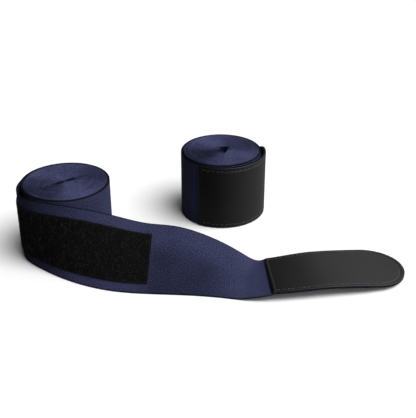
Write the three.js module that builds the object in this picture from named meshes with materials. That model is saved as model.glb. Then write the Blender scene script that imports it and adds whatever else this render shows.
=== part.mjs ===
// A pair of elastic hand wraps for boxing, each a woven band with a loop patch near one end and a
// leather-faced hook tab sewn to that end. One wrap is rolled up and closed. The other is rolled up
// with its last stretch pulled out, which stands on edge and twists down flat to the tab.
// Millimetres, +Z up. The rolls stand on Z = 0 and the origin is the middle of the pair's footprint.
//
// Everything sewn to a band is laid out in the band's own coordinates (u, w, h): u runs along the
// band and is 0 at the base of the tab, w runs across it from its lower edge, and h stands out from
// its outer face. A place function then bends (u, w, h) into the wrap's real position.
import * as THREE from 'three';
import { mergeVertices } from 'three/addons/utils/BufferGeometryUtils.js';

// Band
const BAND_WIDTH = 50;
const BAND_THICKNESS = 0.65;
const GAP = 0.25; // clearance between any two layers that lie on each other

// Rolls
const OPEN_RADIUS = 31.4; // outer face of the open roll where the band leaves it
const OPEN_EXIT_ANGLE = 178; // where the band leaves the open roll, degrees from +X
const CLOSED_RADIUS = 30.5; // outer face of the closed roll's last turn
const CLOSED_TAB_ANGLE = 238; // where the tab's base lies on the closed roll, degrees from +X
const CLOSED_OFFSET = [110.1, 54.6]; // closed roll's centre from the open roll's centre
const TURN_PITCH = BAND_THICKNESS + GAP; // growth of the radius over the outermost turns
const ROLL_STEP = 4; // degrees between the points of a roll's outline
const CLOSED_RISE_LENGTH = 44; // band over which the last turn climbs to the level of the tab
const RISE_PAST_PATCH = 13; // the climb ends this far past the start of the patch below it

// Loop patch, on the outer face of the band
const PATCH_LENGTH = 120;
const PATCH_MARGINS = [6.4, 7.8]; // from the patch to the band's lower and upper edges
const PATCH_THICKNESS = 0.8;
const PATCH_TO_TAB = 82; // from the end of the patch to the base of the tab
const PATCH_END = -PATCH_TO_TAB;
const PATCH_START = PATCH_END - PATCH_LENGTH;

// Tab
const TAB_LENGTH = 97;
const TAB_MARGIN = 0.6; // from the tab's leather to the band's edges
const TIP_RADIUS = 22;
const LEATHER_THICKNESS = 0.9;
const HOOK_THICKNESS = 0.8;
const HOOK_INSET = 0.6; // hook strip inside the leather's outline
const TAIL_INSET = 1.4; // band's tail inside the leather's outline, at the tip
const TAIL_TUCK = [10, 6]; // the tail draws in from this far before the round tip to this far past it
const HEM_LENGTH = 3.6;
const HEM_THICKNESS = 1.2;
const JOINT_GAP = 0.4; // each side of a cut where the cloth bends
const TIP_STEPS = 12; // sections in the round tip

// Threads
const THREAD_RADIUS = 0.2;
const THREAD_SIDES = 5;
const TAB_SEAM_INSET = 2.6;
const SEAM_STEP = 4; // longest straight piece of a thread
const ARC_STEPS = 6; // pieces in each round stretch of an outline

// Thumb loop, folded into the middle of each roll
const LOOP_THICKNESS = 0.8;
const LOOP_WIDTH = 20;
const BARTACK = [2.6, 1.2, 14]; // the block of stitches that closes the loop
const OPEN_FOLD = { length: 17, width: 4.2, turn: 38 }; // flattened, in the open roll; turn in degrees
const CLOSED_HOLE = { width: 6.4, depth: 10.4, corner: 1.3 }; // three-cornered, in the closed roll
const CLOSED_HOLE_MIDDLE = [2.4, 0.5]; // off the closed roll's centre, because its turns lie unevenly

// The open band's route. Past the roll its stations are so many radii of the roll from the exit;
// beyond the roll, share is the part of the run's length already covered.
const EXIT_MARGIN = 5.5; // bare band between the roll and the patch
const RUN_LENGTH = EXIT_MARGIN + PATCH_LENGTH + PATCH_TO_TAB;
const ROUTE_PAST_ROLL = [
  { radii: 0, heading: -104, lean: 90 },
  { radii: 0.46, heading: -78.5, lean: 90 },
  { radii: 1.06, heading: -45, lean: 88.5 },
  { radii: 1.78, heading: -36, lean: 76 },
];
const ROUTE_BEYOND = [
  { share: 0.42, heading: -22, lean: 54 },
  { share: 0.57, heading: -6, lean: 39.5 },
  { share: 0.69, heading: -3.5, lean: 34 },
  { share: 0.8, heading: -7.5, lean: 18 },
  { share: 0.9, heading: -11.5, lean: 1 },
  { share: 1.0, heading: 2.5, lean: -4.5 },
];
const TAB_HEADING = 8.2;
const TAB_LEANS = [-3.4, -0.6]; // past the untwisting and at the tip: the near edge stands up
const TAB_UNTWIST = 25; // length of tab over which most of the twist fades
const TAB_ARCH = 2.9; // rise of the tab's middle above its two ends
const TAB_ARCH_PEAK = 0.4; // where the arch is highest, as a share of the tab
const RUN_STEP = 3; // spacing of the sections along a bent piece
const CELL_WIDTH = 10; // widest cell across a bent piece
const MERGE_DISTANCE = 1e-5; // corners closer than this are one corner
const ROUTE_STEP = 0.5; // spacing of the points that the routes are integrated at
const SETTLE = 1.5; // softness of the change between the two edges that rest on the ground

const radians = THREE.MathUtils.degToRad;
const smoothstep = THREE.MathUtils.smoothstep;

// ---------------------------------------------------------------------------------- routes

// Smooth value through the stations [x, y] at x, with slopes from the neighbouring stations.
function through(stations, x) {
  const last = stations.length - 1;
  if (x <= stations[0][0]) return stations[0][1];
  if (x >= stations[last][0]) return stations[last][1];
  const i = stations.findIndex(([at]) => at > x) - 1;
  const chord = (k) => (stations[k + 1][1] - stations[k][1]) / (stations[k + 1][0] - stations[k][0]);
  const slope = (k) => (chord(Math.max(k - 1, 0)) + chord(Math.min(k, last - 1))) / 2;
  const [x0, y0] = stations[i];
  const [x1, y1] = stations[i + 1];
  const run = x1 - x0;
  const t = (x - x0) / run;
  const start = (1 + 2 * t) * (1 - t) ** 2 * y0 + t * (1 - t) ** 2 * run * slope(i);
  const end = t ** 2 * (3 - 2 * t) * y1 + t ** 2 * (t - 1) * run * slope(i + 1);
  return start + end;
}

const alongRun = (key) => [
  ...ROUTE_PAST_ROLL.map((station) => [station.radii * OPEN_RADIUS - RUN_LENGTH, station[key]]),
  ...ROUTE_BEYOND.map((station) => [(station.share - 1) * RUN_LENGTH, station[key]]),
];
const headings = [...alongRun('heading'), [TAB_UNTWIST, TAB_HEADING], [TAB_LENGTH, TAB_HEADING]];
const leans = [...alongRun('lean'), [TAB_UNTWIST, TAB_LEANS[0]], [TAB_LENGTH, TAB_LEANS[1]]];

// Height of the lowest layer above the ground: the hook strip lies under the band in the tab.
function openLift(u) {
  const hookUnder = (HOOK_THICKNESS + GAP) * smoothstep(u, -2 * HEM_LENGTH, HEM_LENGTH);
  const peak = TAB_ARCH_PEAK * TAB_LENGTH;
  const arch = u < peak ? smoothstep(u, -HEM_LENGTH, peak) : 1 - smoothstep(u, peak, TAB_LENGTH);
  return hookUnder + TAB_ARCH * arch;
}

// The line of the band's lower outer edge on the ground, from the roll to the tip of the tab.
function integrateOpenRoute() {
  const exit = radians(OPEN_EXIT_ANGLE);
  const line = [[OPEN_RADIUS * Math.cos(exit), OPEN_RADIUS * Math.sin(exit)]];
  for (let u = -RUN_LENGTH; u < TAB_LENGTH; u += ROUTE_STEP) {
    const heading = radians(through(headings, u + ROUTE_STEP / 2));
    const [x, y] = line[line.length - 1];
    line.push([x + ROUTE_STEP * Math.cos(heading), y + ROUTE_STEP * Math.sin(heading)]);
  }
  return line;
}
const openLine = integrateOpenRoute();

function placeOpen(u, w, h) {
  const index = (u + RUN_LENGTH) / ROUTE_STEP;
  const i = Math.max(0, Math.min(Math.floor(index), openLine.length - 2));
  const x = THREE.MathUtils.lerp(openLine[i][0], openLine[i + 1][0], index - i);
  const y = THREE.MathUtils.lerp(openLine[i][1], openLine[i + 1][1], index - i);
  const heading = radians(through(headings, u));
  const lean = radians(through(leans, u));
  const across = new THREE.Vector3(
    -Math.sin(heading) * Math.cos(lean), Math.cos(heading) * Math.cos(lean), Math.sin(lean));
  const along = new THREE.Vector3(Math.cos(heading), Math.sin(heading), 0);
  const outward = along.clone().cross(across);
  const drop = -BAND_WIDTH * Math.sin(lean);
  const farEdgeDown = (drop + Math.hypot(drop, SETTLE)) / 2;
  const z = openLift(u) + BAND_THICKNESS * Math.cos(lean) + farEdgeDown;
  return new THREE.Vector3(x, y, z).addScaledVector(across, w).addScaledVector(outward, h);
}

// The closed roll's spiral. The last stretch rises over the patch's start, which lies one turn below
// it, and is up by the base of the tab, where the hook strip begins.
const CLOSED_RISE = 2 * GAP + PATCH_THICKNESS + HOOK_THICKNESS;
const OVER_PATCH_START = PATCH_START + 2 * Math.PI * CLOSED_RADIUS;
const RISE_END = Math.min(OVER_PATCH_START + RISE_PAST_PATCH, 0);

function closedRadius(turn, u) {
  const rise = smoothstep(u, RISE_END - CLOSED_RISE_LENGTH, RISE_END);
  return CLOSED_RADIUS + TURN_PITCH * turn + CLOSED_RISE * rise;
}

function integrateClosedRoute(direction, length) {
  const turns = [0];
  for (let u = 0; u < length; u += ROUTE_STEP) {
    const turn = turns[turns.length - 1];
    const radius = closedRadius(turn, direction * (u + ROUTE_STEP / 2));
    turns.push(turn + direction * ROUTE_STEP / (2 * Math.PI * radius));
  }
  return turns;
}
const turnsBehind = integrateClosedRoute(-1, RUN_LENGTH);
const turnsAhead = integrateClosedRoute(1, TAB_LENGTH);

function closedTurn(u) {
  const turns = u < 0 ? turnsBehind : turnsAhead;
  const index = Math.abs(u) / ROUTE_STEP;
  const i = Math.min(Math.floor(index), turns.length - 2);
  return THREE.MathUtils.lerp(turns[i], turns[i + 1], index - i);
}

function placeClosed(u, w, h) {
  const turn = closedTurn(u);
  const angle = radians(CLOSED_TAB_ANGLE) + 2 * Math.PI * turn;
  const radius = closedRadius(turn, u) + h;
  return new THREE.Vector3(radius * Math.cos(angle), radius * Math.sin(angle), w);
}

// ---------------------------------------------------------------------------------- shapes

// Evenly spaced values from start to end, no further apart than step.
function spaced(start, end, step) {
  const count = Math.max(1, Math.ceil((end - start) / step));
  return Array.from({ length: count + 1 }, (_, i) => start + ((end - start) * i) / count);
}

// Joins the shared corners of a geometry, so that it is one closed surface.
function closed(geometry) {
  geometry.deleteAttribute('normal');
  geometry.deleteAttribute('uv');
  const merged = mergeVertices(geometry, MERGE_DISTANCE);
  merged.computeVertexNormals();
  return merged;
}

// A layer between the levels bottom and top: a box with a row of cells for each pair of neighbours
// in along and across, bent by place. edges(u, share) gives w at that share of the layer's width.
function layer({ along, across, edges, bottom, top, place }) {
  const columns = along.length - 1;
  const rows = across.length - 1;
  const box = new THREE.BoxGeometry(columns, rows, 1, columns, rows, 1);
  const position = box.attributes.position;
  for (let i = 0; i < position.count; i++) {
    const u = along[Math.round(position.getX(i) + columns / 2)];
    const w = edges(u, across[Math.round(position.getY(i) + rows / 2)]);
    const point = place(u, w, position.getZ(i) > 0 ? top : bottom);
    position.setXYZ(i, point.x, point.y, point.z);
  }
  return closed(box);
}

// The points of a closed outline, with its straight sides cut into steps.
function outlinePoints(outline) {
  const corners = outline.getPoints(ARC_STEPS);
  const points = [];
  for (let k = 0; k < corners.length - 1; k++) {
    const side = corners[k].distanceTo(corners[k + 1]);
    const steps = Math.ceil(side / SEAM_STEP);
    for (let i = 0; i < steps; i++) points.push(corners[k].clone().lerp(corners[k + 1], i / steps));
  }
  return points;
}

// A thread laid round a closed outline in (u, w), on the level given, bent by place.
function threadRing({ outline, level, place }) {
  const points = outlinePoints(outline);
  const count = points.length;
  const torus = new THREE.TorusGeometry(1, THREAD_RADIUS, THREAD_SIDES, count);
  const position = torus.attributes.position;
  for (let i = 0; i < position.count; i++) {
    const [x, y, z] = [position.getX(i), position.getY(i), position.getZ(i)];
    const k = (Math.round((Math.atan2(y, x) * count) / (2 * Math.PI)) + count) % count;
    const before = points[(k + count - 1) % count];
    const after = points[(k + 1) % count];
    const outward = new THREE.Vector2(after.y - before.y, before.x - after.x).normalize();
    const offset = outward.multiplyScalar(Math.hypot(x, y) - 1).add(points[k]);
    const point = place(offset.x, offset.y, level + GAP + THREAD_RADIUS + z);
    position.setXYZ(i, point.x, point.y, point.z);
  }
  return closed(torus);
}

function roundedRectangle(u0, w0, u1, w1, corner) {
  const path = new THREE.Path();
  path.absarc(u1 - corner, w0 + corner, corner, -Math.PI / 2, 0);
  path.absarc(u1 - corner, w1 - corner, corner, 0, Math.PI / 2);
  path.absarc(u0 + corner, w1 - corner, corner, Math.PI / 2, Math.PI);
  path.absarc(u0 + corner, w0 + corner, corner, Math.PI, (3 * Math.PI) / 2);
  path.closePath();
  return path;
}

// ---------------------------------------------------------------------------------- materials

function cloth(color) {
  return new THREE.MeshStandardMaterial({ color, roughness: 0.85, metalness: 0 });
}

function leather(color) {
  return new THREE.MeshStandardMaterial({ color, roughness: 0.5, metalness: 0 });
}

const BAND_COLOR = 0x2f3156;
const PILE_COLOR = 0x0f0f0e;
const LEATHER_COLOR = 0x1a191b;
const HOOK_COLOR = 0x151516;
const THREAD_COLOR = 0x6a6a6a;
const LOOP_COLOR = 0x26284a;

function part(name, geometry, material) {
  const mesh = new THREE.Mesh(geometry, material);
  mesh.name = name;
  return mesh;
}

// ---------------------------------------------------------------------------------- the band

const STITCH_SEAT = 2 * (GAP + THREAD_RADIUS) + GAP; // band past a patch's end that its seam takes

// Lines along the band that its cells and the patch's cells share.
const PATCH_LOW = PATCH_MARGINS[0];
const PATCH_HIGH = BAND_WIDTH - PATCH_MARGINS[1];
const PATCH_LINES = spaced(PATCH_LOW, PATCH_HIGH, CELL_WIDTH);
const BAND_LINES = [0, ...PATCH_LINES, BAND_WIDTH];

const acrossBand = (u, w) => w;

// A stretch of the band itself, cut into cells at the stations along it.
function bandStretch(along, place) {
  return layer({
    along, across: BAND_LINES, edges: acrossBand, bottom: -BAND_THICKNESS, top: 0, place,
  });
}

// The open run shares its stations with the patch, so that the two bend as one.
function openRun() {
  const stations = [
    ...spaced(JOINT_GAP - RUN_LENGTH, PATCH_START, RUN_STEP),
    ...spaced(PATCH_START, PATCH_END, RUN_STEP).slice(1),
    ...spaced(PATCH_END, -JOINT_GAP, RUN_STEP).slice(1),
  ];
  return bandStretch(stations, placeOpen);
}

function loopPatch(place) {
  return layer({
    along: spaced(PATCH_START, PATCH_END, RUN_STEP), across: PATCH_LINES, edges: acrossBand,
    bottom: GAP, top: GAP + PATCH_THICKNESS, place,
  });
}

// The overcast seam runs on the band, just outside the patch's edge.
function patchSeam(place) {
  const reach = GAP + THREAD_RADIUS;
  const outline = roundedRectangle(
    PATCH_START - reach, PATCH_LOW - reach, PATCH_END + reach, PATCH_HIGH + reach, reach);
  return threadRing({ outline, level: 0, place });
}

// ---------------------------------------------------------------------------------- the tab

const TAB_HALF = BAND_WIDTH / 2 - TAB_MARGIN;
const TIP = Math.min(TIP_RADIUS, TAB_HALF); // the tip's corners can't be rounder than the tab is wide
const LEATHER_START = HEM_LENGTH + GAP;

const ROUND_START = TAB_LENGTH - TIP;

// Half the width, at u, of the tab's outline drawn in by inset.
function tabHalf(u, inset) {
  const radius = TIP - inset;
  const past = Math.max(0, u - ROUND_START);
  return TAB_HALF - TIP + Math.max(Math.sqrt(Math.max(radius ** 2 - past ** 2, 0)), GAP);
}

// A layer of the tab that begins at start and follows the tip drawn in by inset.
function tabLayer({ start, inset, half = tabHalf, bottom, top, place }) {
  const tip = Array.from({ length: TIP_STEPS }, (_, i) => {
    return ROUND_START + (TIP - inset) * Math.sin((Math.PI / 2) * ((i + 1) / TIP_STEPS));
  });
  return layer({
    along: [...spaced(start, ROUND_START, RUN_STEP), ...tip], across: [-1, -0.5, 0, 0.5, 1],
    edges: (u, share) => BAND_WIDTH / 2 + share * half(u, inset), bottom, top, place,
  });
}

// The band's tail keeps the band's full width along the tab and draws in under the leather's tip.
function tailHalf(u, inset) {
  const [before, past] = TAIL_TUCK;
  const tucked = smoothstep(u, ROUND_START - before, ROUND_START + past);
  return THREE.MathUtils.lerp(BAND_WIDTH / 2, tabHalf(u, inset), tucked);
}

// The row of stitches round the leather's outer face.
function tabSeam(place) {
  const low = TAB_MARGIN + TAB_SEAM_INSET;
  const high = BAND_WIDTH - low;
  const radius = TIP - TAB_SEAM_INSET;
  const start = LEATHER_START + GAP + THREAD_RADIUS;
  const path = new THREE.Path();
  path.moveTo(start, low);
  path.lineTo(ROUND_START, low);
  path.absarc(ROUND_START, low + radius, radius, -Math.PI / 2, 0);
  path.absarc(ROUND_START, high - radius, radius, 0, Math.PI / 2);
  path.lineTo(start, high);
  path.closePath();
  return threadRing({ outline: path, level: GAP + LEATHER_THICKNESS, place });
}

// The leather's folded end, a raised bar over the seam between the tab and the band.
function tabHem(place) {
  return layer({
    along: spaced(0, HEM_LENGTH, RUN_STEP), across: spaced(TAB_MARGIN, BAND_WIDTH - TAB_MARGIN, CELL_WIDTH),
    edges: acrossBand, bottom: GAP, top: GAP + HEM_THICKNESS, place,
  });
}

function tabParts(prefix, place) {
  const hookTop = -BAND_THICKNESS - GAP;
  return [
    part(`${prefix}_band_tail`, tabLayer({
      start: JOINT_GAP, inset: TAIL_INSET, half: tailHalf, bottom: -BAND_THICKNESS, top: 0, place,
    }), cloth(BAND_COLOR)),
    part(`${prefix}_tab_leather`, tabLayer({
      start: LEATHER_START, inset: 0, bottom: GAP, top: GAP + LEATHER_THICKNESS, place,
    }), leather(LEATHER_COLOR)),
    part(`${prefix}_tab_hook_strip`, tabLayer({
      start: LEATHER_START, inset: HOOK_INSET, bottom: hookTop - HOOK_THICKNESS, top: hookTop, place,
    }), cloth(HOOK_COLOR)),
    part(`${prefix}_tab_hem`, tabHem(place), leather(LEATHER_COLOR)),
    part(`${prefix}_tab_stitching`, tabSeam(place), cloth(THREAD_COLOR)),
  ];
}

function patchParts(prefix, place) {
  return [
    part(`${prefix}_loop_patch`, loopPatch(place), cloth(PILE_COLOR)),
    part(`${prefix}_patch_stitching`, patchSeam(place), cloth(PILE_COLOR)),
  ];
}

// ---------------------------------------------------------------------------------- the rolls

// The flattened fold in the open roll's middle, drawn in by inset.
function openFold(Kind, inset) {
  const end = OPEN_FOLD.width / 2;
  const turn = radians(OPEN_FOLD.turn);
  const reach = new THREE.Vector2(OPEN_FOLD.length / 2 - end, 0).rotateAround(new THREE.Vector2(), turn);
  const shape = new Kind();
  shape.absarc(reach.x, reach.y, end - inset, turn - Math.PI / 2, turn + Math.PI / 2);
  shape.absarc(-reach.x, -reach.y, end - inset, turn + Math.PI / 2, turn + (3 * Math.PI) / 2);
  shape.closePath();
  return shape;
}

// The three-cornered hole in the closed roll's middle, drawn in by inset.
function closedHole(Kind, inset) {
  const { width, depth, corner } = CLOSED_HOLE;
  const [x, y] = CLOSED_HOLE_MIDDLE;
  const side = width / 2 - corner;
  const end = depth / 2 - corner;
  const slant = Math.atan2(side, 2 * end);
  const shape = new Kind();
  shape.absarc(x, y - end, corner - inset, slant - Math.PI, -slant);
  shape.absarc(x + side, y + end, corner - inset, -slant, Math.PI / 2);
  shape.absarc(x - side, y + end, corner - inset, Math.PI / 2, Math.PI + slant);
  shape.closePath();
  return shape;
}

// The wound turns as one body: a spiral outline with the step where the band's next turn begins.
function woundCore({ endAngle, endRadius, bore }) {
  const outline = spaced(-360, 0, ROLL_STEP).map((back) => {
    const angle = radians(endAngle + back);
    const radius = endRadius + (TURN_PITCH * back) / 360;
    return new THREE.Vector2(radius * Math.cos(angle), radius * Math.sin(angle));
  });
  const shape = new THREE.Shape(outline);
  shape.holes.push(bore(THREE.Path, 0));
  return closed(new THREE.ExtrudeGeometry(shape, {
    depth: BAND_WIDTH, bevelEnabled: false, curveSegments: ARC_STEPS,
  }));
}

// The thumb loop at the band's inner end, folded against the wall of the bore.
function thumbLoop(bore) {
  const shape = bore(THREE.Shape, GAP);
  shape.holes.push(bore(THREE.Path, GAP + LOOP_THICKNESS));
  const geometry = new THREE.ExtrudeGeometry(shape, {
    depth: LOOP_WIDTH, bevelEnabled: false, curveSegments: ARC_STEPS,
  });
  return closed(geometry.translate(0, 0, (BAND_WIDTH - LOOP_WIDTH) / 2));
}

// A roll's inner pieces. The thumb loop is sewn shut against the bore's wall, which lies at wall from
// the bore's middle, in the direction that turn, in degrees, gives from +Y.
function coreParts(prefix, core, { bore, wall, turn, middle }) {
  const seat = wall - GAP - LOOP_THICKNESS - GAP - BARTACK[1] / 2;
  const bartack = new THREE.BoxGeometry(...BARTACK).translate(0, seat, BAND_WIDTH / 2);
  bartack.rotateZ(radians(turn)).translate(...middle, 0);
  return [
    part(`${prefix}_wound_core`, woundCore({ ...core, bore }), cloth(BAND_COLOR)),
    part(`${prefix}_thumb_loop`, thumbLoop(bore), cloth(LOOP_COLOR)),
    part(`${prefix}_thumb_loop_bartack`, closed(bartack), cloth(THREAD_COLOR)),
  ];
}

// ---------------------------------------------------------------------------------- the pair

const openWrap = new THREE.Group();
openWrap.add(
  ...coreParts('open', { endAngle: OPEN_EXIT_ANGLE, endRadius: OPEN_RADIUS }, {
    bore: openFold, wall: OPEN_FOLD.width / 2, turn: OPEN_FOLD.turn, middle: [0, 0],
  }),
  part('open_run', openRun(), cloth(BAND_COLOR)),
  ...patchParts('open', placeOpen),
  ...tabParts('open', placeOpen),
);

const CORE_END = PATCH_END + STITCH_SEAT;
const coreEndTurn = closedTurn(CORE_END);
const closedWrap = new THREE.Group();
closedWrap.add(
  ...coreParts('closed', {
    endAngle: CLOSED_TAB_ANGLE + 360 * coreEndTurn, endRadius: closedRadius(coreEndTurn, CORE_END),
  }, { bore: closedHole, wall: CLOSED_HOLE.depth / 2, turn: 0, middle: CLOSED_HOLE_MIDDLE }),
  part('closed_last_turn', bandStretch(
    spaced(CORE_END + GAP, -JOINT_GAP, RUN_STEP), placeClosed), cloth(BAND_COLOR)),
  ...patchParts('closed', placeClosed),
  ...tabParts('closed', placeClosed),
);
closedWrap.position.set(...CLOSED_OFFSET, 0);

const pair = new THREE.Group();
pair.add(openWrap, closedWrap);
const middle = new THREE.Box3().setFromObject(pair).getCenter(new THREE.Vector3());
openWrap.position.sub(new THREE.Vector3(middle.x, middle.y, 0));
closedWrap.position.sub(new THREE.Vector3(middle.x, middle.y, 0));

export default pair;
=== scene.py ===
"""A pair of elastic hand wraps for boxing: one rolled up and closed, one with its end pulled out."""
import math

import bmesh
import bpy
import numpy as np
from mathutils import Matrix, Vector


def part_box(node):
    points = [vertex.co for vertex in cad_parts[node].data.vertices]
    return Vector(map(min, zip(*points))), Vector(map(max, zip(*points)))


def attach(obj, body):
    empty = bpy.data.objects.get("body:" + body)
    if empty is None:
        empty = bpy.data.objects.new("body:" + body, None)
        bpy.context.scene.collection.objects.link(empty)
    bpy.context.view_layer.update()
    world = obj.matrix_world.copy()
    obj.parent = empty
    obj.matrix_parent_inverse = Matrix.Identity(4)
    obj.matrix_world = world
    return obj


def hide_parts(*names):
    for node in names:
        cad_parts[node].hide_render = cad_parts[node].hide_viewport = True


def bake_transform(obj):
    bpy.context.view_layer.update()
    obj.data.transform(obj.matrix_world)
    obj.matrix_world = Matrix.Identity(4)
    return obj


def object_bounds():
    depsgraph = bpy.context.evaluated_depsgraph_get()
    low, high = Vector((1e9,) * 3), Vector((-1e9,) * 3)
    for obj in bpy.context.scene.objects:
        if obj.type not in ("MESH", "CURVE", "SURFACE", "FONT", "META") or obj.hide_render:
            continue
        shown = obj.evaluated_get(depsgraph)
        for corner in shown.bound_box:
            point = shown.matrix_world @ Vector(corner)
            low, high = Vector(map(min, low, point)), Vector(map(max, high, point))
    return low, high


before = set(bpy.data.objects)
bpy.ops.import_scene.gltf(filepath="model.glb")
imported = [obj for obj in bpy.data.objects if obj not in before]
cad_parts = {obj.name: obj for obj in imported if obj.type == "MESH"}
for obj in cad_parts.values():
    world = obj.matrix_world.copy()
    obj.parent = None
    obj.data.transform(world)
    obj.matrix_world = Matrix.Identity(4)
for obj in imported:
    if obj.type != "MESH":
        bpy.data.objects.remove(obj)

cad_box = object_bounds()


# ------------------------------------------------------------------------------------ camera
# A long lens that looks down on the pair from in front, aimed at the ground behind its middle.
CAMERA_DISTANCE = 0.629
CAMERA_ELEVATION = math.radians(28)
CAMERA_LENS = 68.9
AIM_FROM_MIDDLE = Vector((-0.0003, 0.0472, 0))

middle = (cad_box[0] + cad_box[1]) / 2
aim = Vector((middle.x, middle.y, 0)) + AIM_FROM_MIDDLE
camera = bpy.data.objects.new("camera", bpy.data.cameras.new("camera"))
camera.data.lens = CAMERA_LENS
camera.location = aim + CAMERA_DISTANCE * Vector(
    (0, -math.cos(CAMERA_ELEVATION), math.sin(CAMERA_ELEVATION)))
camera.rotation_euler = (math.pi / 2 - CAMERA_ELEVATION, 0, 0)
bpy.context.scene.collection.objects.link(camera)
bpy.context.scene.camera = camera


# ------------------------------------------------------------------------- the wound band
# Each wrap is one band of woven cotton and elastane, 50 mm wide, wound on edge, tightly, from the
# folded thumb loop outwards. Its last stretch ends in a hook tab. Along the band u is 0 at the base
# of the tab, w runs up from the lower edge, h stands outwards.
WRAP_LENGTH = 4.5  # sets the number of turns; round the flattened holes they come out 0.2 to 0.3 m longer
BAND_WIDTH = 0.050
BAND_THICKNESS = 0.00065
WOUND_THICKNESS = 0.00058  # pressed thinner in the roll
GAP = 0.00025
RUN_LENGTH = 0.2075  # pulled out of the open roll
TAB_LENGTH = 0.097
PATCH_THICKNESS = 0.0008
HOOK_THICKNESS = 0.0008
TURN_PITCH = BAND_THICKNESS + GAP
OPEN_RADIUS = 0.0314
OPEN_EXIT_ANGLE = math.radians(178)
CLOSED_RADIUS = 0.0305
CLOSED_TAB_ANGLE = math.radians(238)
CLOSED_RISE = 2 * GAP + PATCH_THICKNESS + HOOK_THICKNESS
CLOSED_RISE_LENGTH = 0.044
LOOP_WIDTH = 0.020
TURN_STEP = math.radians(5)  # between the sections of a wound turn
EDGE_POINTS = 4  # round each edge of the band
WOUND_CELLS = 4  # up the face of a wound turn
ROUTE_STEP = 0.0005  # along the band, where its way is added up
EDGE_SHADE_WIDTH = 0.0009  # the border along each edge that is painted dark, as shade on the rounded edges
WINDING_SEED = 7


def low_and_high(node):
    """The lowest and highest corner of a CAD node as arrays."""
    return np.array(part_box(node))


CLOSED_HOLE_MIDDLE = np.array((0.0024, 0.0005, 0))  # off the closed roll's centre
open_centre = low_and_high("open_thumb_loop").mean(0) * (1, 1, 0)
closed_centre = low_and_high("closed_thumb_loop").mean(0) * (1, 1, 0) - CLOSED_HOLE_MIDDLE


def smoothstep(x, start, end):
    """Eases from 0 at start to 1 at end."""
    t = np.clip((x - start) / (end - start), 0, 1)
    return t * t * (3 - 2 * t)


def closed_radius(turn, u):
    """The closed roll's outer face: it climbs over the patch's start to the level of the tab."""
    return CLOSED_RADIUS + TURN_PITCH * turn + CLOSED_RISE * smoothstep(u, -CLOSED_RISE_LENGTH, 0)


def closed_turns(direction, length):
    """How many turns the band has made past the tab's base, at each step away from it."""
    turns = [0]
    for k in range(math.ceil(length / ROUTE_STEP)):
        radius = closed_radius(turns[-1], direction * (k + 0.5) * ROUTE_STEP)
        turns.append(turns[-1] + direction * ROUTE_STEP / (2 * math.pi * radius))
    return direction * ROUTE_STEP * np.arange(len(turns)), np.array(turns)


behind_u, behind_turn = closed_turns(-1, RUN_LENGTH)
ahead_u, ahead_turn = closed_turns(1, TAB_LENGTH)
closed_u = np.concatenate([behind_u[::-1], ahead_u[1:]])
closed_turn = np.concatenate([behind_turn[::-1], ahead_turn[1:]])


def bend_closed(flat):
    """Points (u, w, h) of the flat band, bent round the closed roll."""
    u, w, h = np.asarray(flat, float).T
    turn = np.interp(u, closed_u, closed_turn)
    angle = CLOSED_TAB_ANGLE + 2 * math.pi * turn
    radius = closed_radius(turn, u) + h
    return closed_centre + np.stack([radius * np.cos(angle), radius * np.sin(angle), w], 1)


def hole_radius(angle, sides):
    """Distance from the middle to a hole with softly rounded corners; sides are (normal, distance)."""
    sharpness = 7
    reach = [np.maximum(np.cos(angle - normal) / distance, 0) ** sharpness for normal, distance in sides]
    return sum(reach) ** (-1 / sharpness)


# The open roll is pressed nearly flat in the middle; the closed one keeps a small wedge of a hole.
FOLD_ANGLE = math.radians(38)
FOLD_HALF_SIZES = (0.0085, 0.0016)  # along the fold and across it
OPEN_FOLD = [(FOLD_ANGLE + k * math.pi / 2, FOLD_HALF_SIZES[k % 2]) for k in range(4)]
CLOSED_HOLE = [(math.radians(90), 0.0048), (math.radians(-17), 0.0019), (math.radians(197), 0.0019)]


HOLE_SAMPLES = 72
SLACK_END = (-0.1, 0.12)  # where the slack ends, in turns from the first tight one


def wind(hole, end_angle, outer_turns, outer_radius, wound_length, slack):
    """A band wound round a hole: angles, radii of the outer face, turns before the end, lengths, and
    shares of the way out. outer_radius(back) gives the last outer_turns; the rest lie slack inside."""
    inner_end = outer_radius(-outer_turns)
    around = np.linspace(0, 2 * math.pi, HOLE_SAMPLES, endpoint=False)
    mean_radius = (hole_radius(around, hole).mean() + inner_end) / 2
    inner_turns = wound_length / (2 * math.pi * mean_radius) - outer_turns
    back = np.arange(-(inner_turns + outer_turns), 0, TURN_STEP / (2 * math.pi))
    back = np.append(back, 0)
    angle = end_angle + 2 * math.pi * back
    share = np.clip(1 + (back + outer_turns) / inner_turns, 0, 1)
    innermost = hole_radius(angle, hole) + WOUND_THICKNESS
    inner = innermost + (inner_end - innermost) * share
    squeeze = slack * (1 - smoothstep(back + outer_turns, *SLACK_END)) * share
    radius = np.where(back < -outer_turns, inner, outer_radius(np.maximum(back, -outer_turns))) - squeeze
    steps = np.hypot(np.diff(radius * np.cos(angle)), np.diff(radius * np.sin(angle)))
    return angle, radius, back, np.concatenate([[0], np.cumsum(steps)]), share


def band_section(low, high, inner, outer, across=1):
    """One section of the band: (w, h) up its outer face, round its upper edge, down and round."""
    half = (outer - inner) / 2
    face = np.linspace(low + half, high - half, across + 1)
    face = np.sort(np.append(face, [low + EDGE_SHADE_WIDTH, high - EDGE_SHADE_WIDTH]))
    arc = np.linspace(0, math.pi, EDGE_POINTS + 1)[1:-1]
    top = np.stack([high - half + half * np.sin(arc), inner + half + half * np.cos(arc)], 1)
    bottom = np.stack([low + half - half * np.sin(arc), inner + half - half * np.cos(arc)], 1)
    up = np.stack([face, np.full(len(face), outer)], 1)
    down = np.stack([face[::-1], np.full(len(face), inner)], 1)
    return np.concatenate([up, top, down, bottom])


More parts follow.
